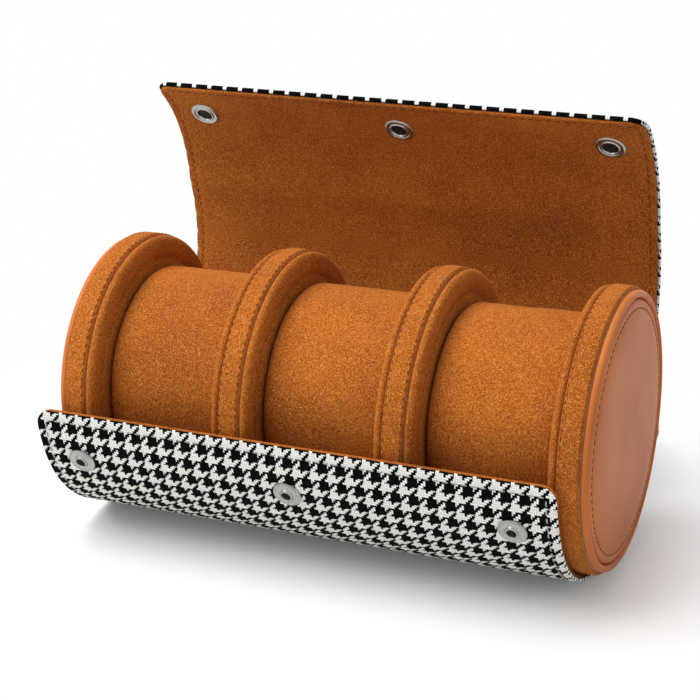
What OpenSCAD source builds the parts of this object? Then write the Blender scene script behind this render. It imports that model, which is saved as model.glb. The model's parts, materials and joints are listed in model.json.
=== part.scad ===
// Roll-up travel case for three watches.
// Four padded discs stand in a stiffened fabric wrap, a cushion lies in each bay between them,
// and the wrap's long flap is a chain of stiffened panels that rolls over the discs to snap in front.
// X runs along the roll, Y to the back, Z up. The origin is the middle of the flat underside.

/* [Discs] */
// Diameter of the padded discs
disc_d = 89; // [84:0.5:94]
// Distance between the middles of neighbouring discs
disc_pitch = 54; // [50:0.5:62]
// Width of the suede band round each disc
band_w = 7; // [5:0.5:10]
// Thickness of the band's suede
band_t = 1.2; // [0.8:0.1:2]
// Thickness of the padded facing on a disc's side
facing_t = 3; // [2:0.25:4]
// Width of the raised ring round a facing
ring_w = 7; // [5:0.5:9]
// Depth of the recess inside a facing's ring
facing_recess = 0.3; // [0.2:0.1:1.6]
// How far a ring's edge lies below the band
ring_step = 0.7; // [0.3:0.1:1.5]
// Thickness of the leather rim on an end disc
rim_t = 2.4; // [2:0.2:4]
// Width of the leather rim
rim_w = 2.6; // [2:0.2:5]
// How far the leather rim lies below the band
rim_step = 1.2; // [0.5:0.1:2]
// Depth of the leather face panel inside its rim
face_recess = 0.4; // [0.2:0.1:1.5]
// Thickness of the leather face panel
face_t = 1.2; // [0.8:0.1:1.8]
// Offset of the discs from the middle of the wrap
spool_shift = 6.5; // [0:0.5:8]

/* [Cushions] */
// Diameter of a watch cushion
cushion_d = 69; // [56:0.5:74]
// Thickness of a cushion's suede sleeve
sleeve_t = 1.2; // [0.8:0.1:2]
// Radius of a cushion's rounded end edge
cushion_edge_r = 2.5; // [2:0.25:3.5]
// Gap between a cushion's end and the facing beside it
cushion_gap = 0.2; // [0.2:0.05:0.8]

/* [Wrap] */
// Width of the wrap along the roll
wrap_w = 172; // [166:0.5:190]
// Thickness of the woven outer fabric
fabric_t = 0.8; // [0.6:0.05:1.2]
// Thickness of the stiffening board
board_t = 0.8; // [0.6:0.05:1.2]
// Thickness of the suede lining
lining_t = 0.8; // [0.6:0.05:1.2]
// Gap between the discs and the lining where they rest
seat_gap = 0.3; // [0.2:0.05:0.5]
// How much wider the front wall stands than the discs
wall_slack = 1.8; // [1.2:0.1:2.2]
// Height of the front wall's edge above the discs' axis
wall_rise = 1.5; // [1:0.5:8]
// Margin between the boards and the wrap's sewn edges
edge_margin = 2; // [2:0.25:3]
// Radius of the front wall's corners
corner_r = 5; // [3:0.5:8]
// Radius of the lid's corners
lid_corner_r = 6; // [5:0.5:6.5]
// Width of the flat underside
foot_w = 18; // [14:1:20]
// Depth of fabric below the round wrap at the flat underside
foot_drop = 0.6; // [0.4:0.1:1]
// Where the flap starts at the bottom of the back, in degrees from straight back
flap_start_a = -75; // [-77:0.5:-73]

/* [Flap] */
// Width of the flap at its fold behind the discs, where it is narrowest
waist_w = 158; // [150:1:166]
// Part of the roll that each of the three panels lying behind it covers, in degrees
floor_panel_a = 37.09; // [36:0.01:38.2]
// Part of the roll that each of the two panels rising to the lid covers, in degrees
riser_panel_a = 37.34; // [37.2:0.01:38.5]
// Radius that the five hidden panels are curved to
hidden_curve_r = 60; // [55:1:70]
// Radius that the two lid panels are curved to
lid_curve_r = 54; // [50:1:60]
// Distance between the discs' rims and the arc on which the open lid stands, were the two concentric
lid_stand_off = 24.5; // [22.5:0.5:26.5]
// Distance of that arc's centre behind the discs' axis
lid_arc_y = -6; // [-8:0.5:-4]
// Height of that arc's centre above the discs' axis
lid_arc_z = 30.5; // [29:0.5:32]
// Place on the arc of the lid's lower edge, in degrees
lid_low_a = -32.9; // [-34:0.1:-31]
// Place on the arc of the crease between the lid panels
lid_mid_a = 12.5; // [8:0.5:16]
// Place on the arc of the lid's free edge
lid_top_a = 50; // [48:0.5:52]
// How far outside the arc the free edge leans
lid_lean = 2.4; // [1:0.2:4]
// Gap between neighbouring panels at a crease
crease_gap = 0.3; // [0.2:0.05:0.5]
// Length of bare cloth beside each crease, between the boards
crease_margin = 1.5; // [1:0.25:2.5]

/* [Snaps] */
// Distance of the outer snaps from the wrap's sides
snap_inset = 14; // [10:0.5:24]
// Distance of the snaps from the lid's free edge
snap_edge = 15.8; // [10:0.2:18]
// Place of the studs on the front wall, in degrees round the wall's centre
stud_a = 200.5; // [195:0.1:206]
// Diameter of a stud's flange
stud_d = 9.2; // [8:0.1:10]
// Thickness of a stud's flange
stud_flange_t = 0.6; // [0.4:0.05:0.8]
// Diameter of the stud's knob
knob_d = 4.2; // [3.6:0.1:4.6]
// Height of the knob above the flange
knob_h = 1.5; // [1.2:0.1:1.8]
// Diameter of the hole in the knob
knob_bore_d = 2.2; // [1.6:0.1:2.6]
// Diameter of a socket's ring
socket_d = 10; // [9:0.1:11]
// How far a socket's ring stands out of the lining
socket_t = 0.9; // [0.6:0.05:1.1]
// How deep a socket's ring is pressed into the suede
socket_seat = 0.1; // [0.05:0.05:0.15]
// Diameter of the hole in a socket
socket_bore_d = 5.6; // [5.2:0.1:6]
// Diameter of the cap on the lid's outside
cap_d = 10.5; // [9:0.1:12]
// Height of that cap
cap_t = 0.9; // [0.6:0.05:1.4]
// Diameter of the rivet plate behind a stud
plate_d = 8; // [7:0.1:9]

/* [Hidden] */

$fn = 96;
suede = [0.72, 0.38, 0.13];
leather = [0.76, 0.45, 0.28];
weave = [0.55, 0.55, 0.55];
card = [0.45, 0.40, 0.34];
foam = [0.86, 0.82, 0.70];
steel = [0.78, 0.78, 0.80];
gunmetal = [0.40, 0.40, 0.42];

disc_r = disc_d / 2;
wrap_t = lining_t + board_t + fabric_t;
seat_r = disc_r + seat_gap;
axis_h = seat_r + wrap_t + foot_drop;
wall_r = seat_r + wall_slack;
cushion_l = disc_pitch - band_w - 2 * facing_t - 2 * cushion_gap;
cushion_r = cushion_d / 2;
snap_pitch = wrap_w / 2 - snap_inset;
floor_panel_l = floor_panel_a * PI / 180 * seat_r;
riser_panel_l = riser_panel_a * PI / 180 * seat_r;
lid_arc_r = disc_r + lid_stand_off;
plate_sag = plate_d * plate_d / 8 / wall_r;
cut = 1;
// how far a rounded corner's arc runs past the two edges, which it crosses
corner_cross = 0.02;
big = 4 * disc_d;

// ---------- helpers ----------

// draws a profile of (Y, Z) points about the discs' axis and gives it a width along X
module along_roll(width, middle = 0) {
    translate([middle - width / 2, 0, axis_h]) rotate([90, 0, 90]) linear_extrude(width) children();
}

// a ring between two radii
module ring_2d(r_in, r_out) {
    difference() { circle(r_out); circle(r_in); }
}

// a solid of revolution about the roll's own direction, its profile given as (radius, X)
module turned(x = 0) {
    translate([x, 0, axis_h]) rotate([0, 90, 0]) rotate_extrude() children();
}

// a bar with rounded edges: u is along the radius and v along the roll
module rounded_2d(u0, u1, v0, v1, r) {
    translate([u0, v0 + r]) square([u1 - u0, v1 - v0 - 2 * r]);
    translate([u0 + r, v0]) square([u1 - u0 - 2 * r, v1 - v0]);
    for (u = [u0 + r, u1 - r], v = [v0 + r, v1 - r]) translate([u, v]) circle(r);
}

// the two square corners outside a plate's rounded ones: the plate's edge lies on the local X axis,
// the plate itself below it in local Y, and its thickness is along local Z
module outside_corners(width, radius) {
    in = radius - corner_cross;
    for (side = [-1, 1]) translate([side * (width / 2 - in), -in, 0]) difference() {
        translate([side > 0 ? 0 : -radius - cut, 0, -big / 8]) cube([radius + cut, radius + cut, big / 4]);
        cylinder(r = radius, h = big / 2, center = true);
    }
}

// ---------- wrap under the discs ----------

wall_top_a = 180 - asin((wall_rise - wall_slack) / (wall_r + wrap_t / 2));

// a layer of the wrap, between two depths from the lining's inner face
module wrap_layer_2d(t0, t1, start_a = flap_start_a, top_a = wall_top_a) {
    // seated part, round the discs' own axis
    intersection() {
        ring_2d(seat_r + t0, seat_r + t1);
        polygon([[0, 0], [big * cos(start_a), big * sin(start_a)], [0, -big]]);
    }
    // front wall, a slightly wider arc that starts level with the bottom
    translate([0, wall_slack]) intersection() {
        ring_2d(wall_r + t0, wall_r + t1);
        polygon([[0, 0], [0, -big], [-big, -big], [big * cos(top_a), big * sin(top_a)]]);
    }
}

module wall_corners(radius = corner_r, inset = 0) {
    top = [(wall_r + wrap_t / 2) * cos(wall_top_a), wall_slack + (wall_r + wrap_t / 2) * sin(wall_top_a)];
    translate([0, top[0], axis_h + top[1] - inset]) rotate([90, 0, 0])
        outside_corners(wrap_w - 2 * inset, radius);
}

module wrap_fabric() color(weave) difference() {
    union() {
        along_roll(wrap_w) wrap_layer_2d(wrap_t - fabric_t, wrap_t);
        // the cloth lies flat where the case stands
        along_roll(wrap_w) difference() {
            translate([-foot_w / 2, -axis_h]) square([foot_w, foot_w / 2]);
            translate([0, wall_slack]) circle(wall_r + wrap_t - fabric_t / 2);
            circle(seat_r + wrap_t - fabric_t / 2);
        }
    }
    wall_corners();
    stud_holes(knob_d);
}

module wrap_board() color(card) difference() {
    along_roll(wrap_w - 2 * edge_margin)
        wrap_layer_2d(lining_t, lining_t + board_t, flap_start_a - board_stop_a, wall_top_a + board_stop_a);
    wall_corners(corner_r, edge_margin);
    stud_holes(plate_d);
}
board_stop_a = edge_margin / wall_r * 180 / PI;

// the suede lines the inside and fills the sewn edge beyond the board
module wrap_lining() color(suede) difference() {
    along_roll(wrap_w) wrap_layer_2d(0, lining_t + board_t);
    along_roll(wrap_w - 2 * edge_margin)
        wrap_layer_2d(lining_t, lining_t + board_t + cut, flap_start_a - board_stop_a, wall_top_a + board_stop_a);
    wall_corners();
}

// ---------- snaps on the front wall ----------

// places its children at each stud, with local Z pointing out of the wall and 0 at the cloth's face
module at_studs() {
    for (k = [-1, 0, 1])
        translate([k * snap_pitch, 0, axis_h + wall_slack]) rotate([stud_a - 90, 0, 0])
            translate([0, 0, wall_r + wrap_t]) children();
}

module stud_holes(d) {
    at_studs() cylinder(d = d, h = 4 * wrap_t, center = true);
}

module snap_studs() color(steel) at_studs() difference() {
    union() {
        rotate_extrude() {
            square([stud_d / 2 - stud_flange_t / 2, stud_flange_t]);
            translate([stud_d / 2 - stud_flange_t / 2, stud_flange_t / 2]) circle(stud_flange_t / 2);
        }
        translate([0, 0, -fabric_t - plate_sag])
            cylinder(d = knob_d - 0.1, h = fabric_t + plate_sag + stud_flange_t / 2);
        translate([0, 0, stud_flange_t / 2]) cylinder(d = knob_d, h = stud_flange_t / 2 + knob_h);
    }
    translate([0, 0, -fabric_t / 2]) cylinder(d = knob_bore_d, h = big);
}

// the plates are flat under the curved cloth, so they are thinner than the board by the cloth's sag
module stud_rivet_plates() color(steel) at_studs()
    translate([0, 0, -fabric_t - board_t]) cylinder(d = plate_d - 0.1, h = board_t - plate_sag);

// ---------- discs ----------

function disc_x(k) = spool_shift + k * disc_pitch;

// the stiff middle of a disc, between its side faces
module disc_core(x, thickness) color(foam)
    turned(x) translate([0, -thickness / 2]) square([disc_r - band_t, thickness]);

module disc_band(x) color(suede)
    turned(x) rounded_2d(disc_r - band_t, disc_r, -band_w / 2, band_w / 2, band_t / 3);

// suede facing with a raised, rounded ring; it lies on the side that dir points to
module disc_facing(x, dir) color(suede) turned(x + dir * band_w / 2) scale([1, dir]) {
    square([disc_r - ring_step - ring_w / 2, facing_t - facing_recess]);
    intersection() {
        rounded_2d(disc_r - ring_step - ring_w, disc_r - ring_step, -facing_t, facing_t, facing_t * 0.9);
        square([disc_r, facing_t]);
    }
}

module divider_facings(x) {
    for (dir = [-1, 1]) disc_facing(x, dir);
}

// leather rim round the outside of an end disc
module end_rim(x, dir) color(leather) turned(x + dir * band_w / 2) scale([1, dir])
    intersection() {
        rounded_2d(disc_r - rim_step - rim_w, disc_r - rim_step, -rim_t, rim_t, rim_w * 0.45);
        square([disc_r, rim_t]);
    }

// flat leather panel that fills the rim, on a layer of padding
module end_face(x, dir) color(leather) turned(x + dir * band_w / 2) scale([1, dir])
    translate([0, rim_t - face_recess - face_t]) square([disc_r - rim_step - rim_w, face_t]);

module end_core(x, dir) {
    disc_core(x, band_w);
    color(foam) turned(x + dir * band_w / 2) scale([1, dir])
        square([disc_r - rim_step - rim_w, rim_t - face_recess - face_t]);
}

// ---------- cushions ----------

module cushion_core(x) color(foam)
    turned(x) translate([0, -cushion_l / 2 + sleeve_t]) square([cushion_r - sleeve_t, cushion_l - 2 * sleeve_t]);

// the sleeve's outer edges are rounded, where it is sewn to the round ends
module cushion_sleeve(x) color(suede) turned(x) intersection() {
    rounded_2d(cushion_r - 3 * cushion_edge_r, cushion_r, -cushion_l / 2, cushion_l / 2, cushion_edge_r);
    difference() {
        translate([cushion_r - cushion_edge_r, -cushion_l / 2]) square([cushion_edge_r, cushion_l]);
        translate([0, -cushion_l / 2 + sleeve_t]) square([cushion_r - sleeve_t, cushion_l - 2 * sleeve_t]);
    }
}

module cushion_ends(x) color(suede) for (side = [-1, 1])
    turned(x + side * cushion_l / 2) scale([1, -side]) square([cushion_r - cushion_edge_r, sleeve_t]);

// ---------- flap ----------
// The flap is a chain of seven curved panels. Each panel's inner face is an arc that starts at its
// crease; the chain is laid out here in its open position, and the creases are its hinges.

function arc_point(a, out = 0) = [lid_arc_y, lid_arc_z] + (lid_arc_r + out) * [cos(a), sin(a)];
function arc_for_chord(c, r) = 2 * r * asin(c / (2 * r)) * PI / 180;
function turn_of(l, r) = l / r * 180 / PI;
function polar(r, a) = [r * cos(a), r * sin(a)];
function heading(v) = atan2(v[1], v[0]);

lower_lid_l = arc_for_chord(norm(arc_point(lid_mid_a) - arc_point(lid_low_a)), lid_curve_r);
upper_lid_l = arc_for_chord(norm(arc_point(lid_top_a, lid_lean) - arc_point(lid_mid_a)), lid_curve_r);
panel_l = [floor_panel_l, floor_panel_l, floor_panel_l, riser_panel_l, riser_panel_l, lower_lid_l, upper_lid_l];
panel_r = [for (k = [0:6]) k < 5 ? hidden_curve_r : lid_curve_r];

// the crease below the lid folds outwards, so its hinge lies in the outer face
fold_out = [0, 0, 0, 0, 0, 1, 0, 0];

// a panel's end hinge seen from its start hinge, with the panel starting level
function reach(k) = let (a = turn_of(panel_l[k], panel_r[k]), r = panel_r[k])
    [r * sin(a), r * (1 - cos(a))] + fold_out[k + 1] * wrap_t * [sin(a), -cos(a)] + [0, fold_out[k] * wrap_t];

// open positions of the creases, from the wrap's back edge to the lid's free edge
hinge_0 = polar(seat_r, flap_start_a);
floor_sag = floor_panel_l * floor_panel_l / 8 / hidden_curve_r;
floor_hinge_h = -axis_h + wrap_t + floor_sag + 0.1;
hinge_1 = [hinge_0[0] + sqrt(pow(norm(reach(0)), 2) - pow(floor_hinge_h - hinge_0[1], 2)), floor_hinge_h];
hinge_2 = hinge_1 + [norm(reach(1)), 0];
hinge_3 = hinge_2 + [norm(reach(2)), 0];
lid_start_a = heading(arc_point(lid_mid_a) - arc_point(lid_low_a)) - turn_of(lower_lid_l, lid_curve_r) / 2;
hinge_5 = arc_point(lid_low_a) + wrap_t * [sin(lid_start_a), -cos(lid_start_a)];
riser_span = hinge_5 - hinge_3;
riser_along = (pow(norm(riser_span), 2) + pow(norm(reach(3)), 2) - pow(norm(reach(4)), 2)) / 2 / norm(riser_span);
riser_off = sqrt(pow(norm(reach(3)), 2) - pow(riser_along, 2));
hinge_4 = hinge_3 + riser_span / norm(riser_span) * riser_along
    + [riser_span[1], -riser_span[0]] / norm(riser_span) * riser_off;
hinges = [hinge_0, hinge_1, hinge_2, hinge_3, hinge_4, hinge_5,
    arc_point(lid_mid_a), arc_point(lid_top_a, lid_lean)];

function panel_a(k) = heading(hinges[k + 1] - hinges[k]) - heading(reach(k));

// how far each crease folds towards the outside in use, which sets the bevel of the panels' ends
bevel_out = [32, 15, 15, 0, 0, 0, 7, 0];
bevel_in = [0, 0, 0, 0, 0, 4, 0, 0];

// moves a panel's own frame, level at its start, to its place in the open flap
module at_panel(k) {
    a = panel_a(k);
    start = hinges[k] + fold_out[k] * wrap_t * [-sin(a), cos(a)];
    translate([0, start[0], axis_h + start[1]]) rotate([a, 0, 0]) children();
}

// a point on a panel's end face: a is the end's place on the arc, t the depth from the inner face,
// side is 1 at the panel's start and -1 at its end, and the bevels draw the face back
function end_point(r, a, side, t, out, in) =
    polar(r + t, a) + side * (t * tan(out) + (wrap_t - t) * tan(in)) * polar(1, a + 90);

// profile of a panel's layer in the panel's own frame, with its ends cut along the creases
module panel_layer_2d(k, t0, t1, trim0 = 0, trim1 = 0) {
    r = panel_r[k];
    gap_a = turn_of(crease_gap / 2, r);
    a0 = -90 + turn_of(trim0, r) + (k == 0 ? 2 : 1) * gap_a;
    a1 = -90 + turn_of(panel_l[k] - trim1, r) - (k == 6 ? 0 : gap_a);
    translate([0, r]) intersection() {
        ring_2d(r + t0, r + t1);
        polygon([
            end_point(r, a0, 1, -cut, bevel_out[k], bevel_in[k]),
            end_point(r, a0, 1, wrap_t + cut, bevel_out[k], bevel_in[k]),
            polar(2 * r, (a0 + a1) / 2),
            end_point(r, a1, -1, wrap_t + cut, bevel_out[k + 1], bevel_in[k + 1]),
            end_point(r, a1, -1, -cut, bevel_out[k + 1], bevel_in[k + 1])
        ]);
    }
}

// width of the flap at each crease: it narrows towards the fold behind the discs, then widens to the lid
crease_w = [for (k = [0:7]) wrap_w - (wrap_w - waist_w) * (k < 4 ? k / 3 : max(0, 5 - k) / 2)];

// a layer of a panel, its two sides drawn in from the flap's edges by the inset
module panel_solid(k, t0, t1, inset = 0, trim0 = 0, trim1 = 0) {
    l = reach(k)[0];
    w0 = crease_w[k] / 2 - inset;
    w1 = crease_w[k + 1] / 2 - inset;
    taper = (w1 - w0) / l * wrap_t;
    at_panel(k) intersection() {
        rotate([90, 0, 90]) linear_extrude(2 * wrap_w, center = true) panel_layer_2d(k, t0, t1, trim0, trim1);
        translate([0, 0, -disc_r]) linear_extrude(disc_d) polygon([
            [taper - w0, -wrap_t], [w0 - taper, -wrap_t], [w1 + taper, l + wrap_t], [-w1 - taper, l + wrap_t]
        ]);
    }
}

// places its children on a panel's inner face, a distance before its end, with local Y towards
// that end and local Z out of the inner face
module on_panel(k, before_end = 0) {
    a = turn_of(panel_l[k] - before_end, panel_r[k]);
    at_panel(k) translate([0, panel_r[k] * sin(a), panel_r[k] * (1 - cos(a))]) rotate([a, 0, 0]) children();
}

function end_trim(k) = k == 6 ? edge_margin : crease_margin;

// only the last panel, the free end of the flap, has rounded corners and snaps
module lid_corners(inset = 0) {
    on_panel(6, inset) outside_corners(wrap_w - 2 * inset, lid_corner_r);
}

module at_sockets() {
    for (k = [-1, 0, 1]) translate([k * snap_pitch, 0, 0]) on_panel(6, snap_edge) children();
}

// the hole through every layer, and the seat that a socket's flat ring presses into the curved suede
module socket_holes() at_sockets() {
    cylinder(d = socket_bore_d + 1.1, h = 4 * wrap_t, center = true);
    translate([0, 0, -socket_seat]) cylinder(d = socket_d + 0.1, h = 2 * wrap_t);
}

module panel_fabric(k) color(weave) difference() {
    panel_solid(k, lining_t + board_t, wrap_t);
    if (k == 6) lid_corners();
    if (k == 6) socket_holes();
}

module panel_board(k) color(card) difference() {
    panel_solid(k, lining_t, lining_t + board_t, edge_margin, crease_margin, end_trim(k));
    if (k == 6) lid_corners(edge_margin);
    if (k == 6) socket_holes();
}

// suede over the whole inner face, and beside the board where the edges are sewn
module panel_lining(k) color(suede) difference() {
    panel_solid(k, 0, lining_t + board_t);
    panel_solid(k, lining_t, wrap_t, edge_margin, crease_margin, end_trim(k));
    if (k == 6) lid_corners();
    if (k == 6) socket_holes();
}

module snap_sockets() color(gunmetal) at_sockets() difference() {
    union() {
        rotate_extrude() intersection() {
            translate([-socket_d, 0]) rounded_2d(0, 1.5 * socket_d, -socket_t, socket_t, socket_t * 0.8);
            translate([0, -socket_seat]) square([socket_d, socket_seat + socket_t]);
        }
        translate([0, 0, -lining_t - board_t]) cylinder(d = socket_bore_d + 1, h = wrap_t);
    }
    cylinder(d = socket_bore_d, h = big, center = true);
}

module socket_caps() color(steel) at_sockets() {
    rotate_extrude() intersection() {
        translate([-cap_d, 0]) rounded_2d(0, 1.5 * cap_d, -wrap_t - cap_t, -wrap_t + cap_t, cap_t * 0.8);
        translate([0, -wrap_t - cap_t]) square([cap_d, cap_t]);
    }
    translate([0, 0, -wrap_t - cap_t / 2]) cylinder(d = socket_bore_d + 1, h = fabric_t + cap_t / 2);
}

// ---------- nodes ----------

wrap_fabric();
wrap_board();
wrap_lining();
snap_studs();
stud_rivet_plates();
end_core(disc_x(-1.5), -1);  // left_end_core
disc_band(disc_x(-1.5));  // left_end_band
disc_facing(disc_x(-1.5), 1);  // left_end_facing
end_rim(disc_x(-1.5), -1);  // left_end_rim
end_face(disc_x(-1.5), -1);  // left_end_face
end_core(disc_x(1.5), 1);  // right_end_core
disc_band(disc_x(1.5));  // right_end_band
disc_facing(disc_x(1.5), -1);  // right_end_facing
end_rim(disc_x(1.5), 1);  // right_end_rim
end_face(disc_x(1.5), 1);  // right_end_face
disc_core(disc_x(-0.5), band_w);  // left_divider_core
disc_band(disc_x(-0.5));  // left_divider_band
divider_facings(disc_x(-0.5));  // left_divider_facings
disc_core(disc_x(0.5), band_w);  // right_divider_core
disc_band(disc_x(0.5));  // right_divider_band
divider_facings(disc_x(0.5));  // right_divider_facings
cushion_core(disc_x(-1));  // left_cushion_core
cushion_sleeve(disc_x(-1));  // left_cushion_sleeve
cushion_ends(disc_x(-1));  // left_cushion_ends
cushion_core(disc_x(0));  // middle_cushion_core
cushion_sleeve(disc_x(0));  // middle_cushion_sleeve
cushion_ends(disc_x(0));  // middle_cushion_ends
cushion_core(disc_x(1));  // right_cushion_core
cushion_sleeve(disc_x(1));  // right_cushion_sleeve
cushion_ends(disc_x(1));  // right_cushion_ends
panel_fabric(0);  // floor_panel_1_fabric
panel_board(0);  // floor_panel_1_board
panel_lining(0);  // floor_panel_1_lining
panel_fabric(1);  // floor_panel_2_fabric
panel_board(1);  // floor_panel_2_board
panel_lining(1);  // floor_panel_2_lining
panel_fabric(2);  // floor_panel_3_fabric
panel_board(2);  // floor_panel_3_board
panel_lining(2);  // floor_panel_3_lining
panel_fabric(3);  // riser_panel_1_fabric
panel_board(3);  // riser_panel_1_board
panel_lining(3);  // riser_panel_1_lining
panel_fabric(4);  // riser_panel_2_fabric
panel_board(4);  // riser_panel_2_board
panel_lining(4);  // riser_panel_2_lining
panel_fabric(5);  // lower_lid_fabric
panel_board(5);  // lower_lid_board
panel_lining(5);  // lower_lid_lining
panel_fabric(6);  // upper_lid_fabric
panel_board(6);  // upper_lid_board
panel_lining(6);  // upper_lid_lining
snap_sockets();
socket_caps();
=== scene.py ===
import json
import math

import bmesh
import bpy
import numpy as np
from mathutils import Matrix


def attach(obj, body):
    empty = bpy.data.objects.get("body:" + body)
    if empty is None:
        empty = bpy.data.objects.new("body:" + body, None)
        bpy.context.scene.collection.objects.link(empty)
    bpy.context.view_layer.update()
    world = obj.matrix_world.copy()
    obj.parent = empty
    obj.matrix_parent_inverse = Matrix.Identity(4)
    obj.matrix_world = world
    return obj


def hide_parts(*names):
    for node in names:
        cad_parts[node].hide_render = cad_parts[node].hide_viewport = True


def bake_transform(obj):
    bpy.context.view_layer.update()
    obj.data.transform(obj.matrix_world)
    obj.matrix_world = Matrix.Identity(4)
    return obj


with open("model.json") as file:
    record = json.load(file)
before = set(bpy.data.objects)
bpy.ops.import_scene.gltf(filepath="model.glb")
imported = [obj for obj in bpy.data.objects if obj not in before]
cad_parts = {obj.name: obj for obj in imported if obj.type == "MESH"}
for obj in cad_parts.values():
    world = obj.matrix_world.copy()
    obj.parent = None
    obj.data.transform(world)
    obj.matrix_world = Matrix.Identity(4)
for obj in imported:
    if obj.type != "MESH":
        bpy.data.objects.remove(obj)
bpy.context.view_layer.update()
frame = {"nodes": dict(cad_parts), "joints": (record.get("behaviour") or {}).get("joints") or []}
mm = 0.001
print("stage: frame loaded")


def linear(hexColour):
    # sRGB hex to linear light: c / 12.92 for a channel near black, else ((c + 0.055) / 1.055) ** 2.4
    channels = []
    for k in (1, 3, 5):
        c = int(hexColour[k:k + 2], 16) / 255
        channels.append(c / 12.92 if c <= 0.04045 else ((c + 0.055) / 1.055) ** 2.4)
    return (*channels, 1.0)


def setInputs(tree, node, inputs):
    # a number or colour goes onto the input; a socket is linked to it, and a node by its first live output
    for key, value in inputs.items():
        if isinstance(value, bpy.types.Node):
            value = next(socket for socket in value.outputs if socket.enabled)
        if isinstance(value, bpy.types.NodeSocket):
            tree.links.new(value, node.inputs[key])
        else:
            node.inputs[key].default_value = value


def addNode(tree, kind, inputs=None, **settings):
    # one node, its settings first because they decide which sockets are live
    node = tree.nodes.new(kind)
    for name, value in settings.items():
        setattr(node, name, value)
    setInputs(tree, node, inputs or {})
    return node


def startMaterial(name):
    # a material, its nodes, and the place on the object in metres that its patterns are read at
    material = bpy.data.materials.new(name)
    material.use_nodes = True
    tree = material.node_tree
    return material, tree, addNode(tree, "ShaderNodeTexCoord").outputs["Object"]


def tinted(tree, base, layers):
    # the base colour, mixed towards each layer's colour: the mix climbs evenly from 0 to the layer's
    # share as its pattern runs from the first height to the second
    colour = linear(base)
    for pattern, first, second, share, tint in layers:
        amount = addNode(tree, "ShaderNodeMapRange", {"Value": pattern, "From Min": first,
                                                      "From Max": second, "To Max": share})
        colour = addNode(tree, "ShaderNodeMix", {0: amount, 6: colour, 7: linear(tint)}, data_type="RGBA")
    return colour


def finishMaterial(material, colour, height, strength, depthMm, **shader):
    # colour and relief are linked to the surface; numbers that are even all over go on its own sockets
    tree = material.node_tree
    bump = addNode(tree, "ShaderNodeBump", {"Height": height, "Strength": strength,
                                            "Distance": depthMm * mm})
    even = {name.replace("_", " "): value for name, value in shader.items()}
    setInputs(tree, tree.nodes["Principled BSDF"], {"Base Color": colour, "Normal": bump, **even})
    return material


suedeLook = {
    "base": "#B8651A", "dark": "#964B12", "light": "#E2984C", "deep": "#5A2806", "rim": "#E8A058",
    "cloudMm": 26.0, "napMm": 1.0, "pileMm": 0.46, "reliefMm": 0.22,
}


def suedeMaterial(name, look, shade=0.0):
    # split leather, brushed to a nap: no gloss, a soft bright rim at grazing angles, speckled short pile
    material, tree, place = startMaterial(name)
    # hand marks in the nap, clumps of fibres, and single tufts, drawn as coarse as they need to show
    cloud, nap, pile = (addNode(tree, "ShaderNodeTexNoise", {"Vector": place, "Scale": 1000 / look[size],
                                                             "Detail": detail, "Roughness": roughness})
                        for size, detail, roughness in (("cloudMm", 3.0, 0.5), ("napMm", 3.0, 0.65),
                                                        ("pileMm", 2.0, 0.7)))
    colour = tinted(tree, look["base"], [(cloud, 0.3, 0.72, 1.0, look["dark"]),
                                         (nap, 0.46, 0.7, 0.55, look["dark"]),
                                         (pile, 0.5, 0.68, 0.62, look["light"]),
                                         (pile, 0.5, 0.33, 0.66, look["deep"])])
    # painted shade: a shade above 0 draws the whole colour that share of the way to the deep brown, a darker
    # shaded copy of the same suede
    if shade:
        colour = addNode(tree, "ShaderNodeMix", {0: shade, 6: colour, 7: linear(look["deep"])},
                         data_type="RGBA")
    clumps = addNode(tree, "ShaderNodeMath", {0: nap, 1: 0.5}, operation="MULTIPLY")
    height = addNode(tree, "ShaderNodeMath", {0: pile, 1: 0.6, 2: clumps}, operation="MULTIPLY_ADD")
    return finishMaterial(material, colour, height, strength=0.5, depthMm=look["reliefMm"], Roughness=0.93,
                          Specular_IOR_Level=0.18, Sheen_Weight=0.22, Sheen_Roughness=0.45,
                          Sheen_Tint=linear(look["rim"]))


weaveLook = {
    # groove is the near-black colour of the painted shade between the threads
    "white": "#FAF9F5", "black": "#050505", "groove": "#121212", "lint": "#6C6A67",
    "acrossMm": 0.72, "alongMm": 0.79, "threads": 8, "spread": 0.5, "lintMm": 0.3846, "reliefMm": 0.16,
}


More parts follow.
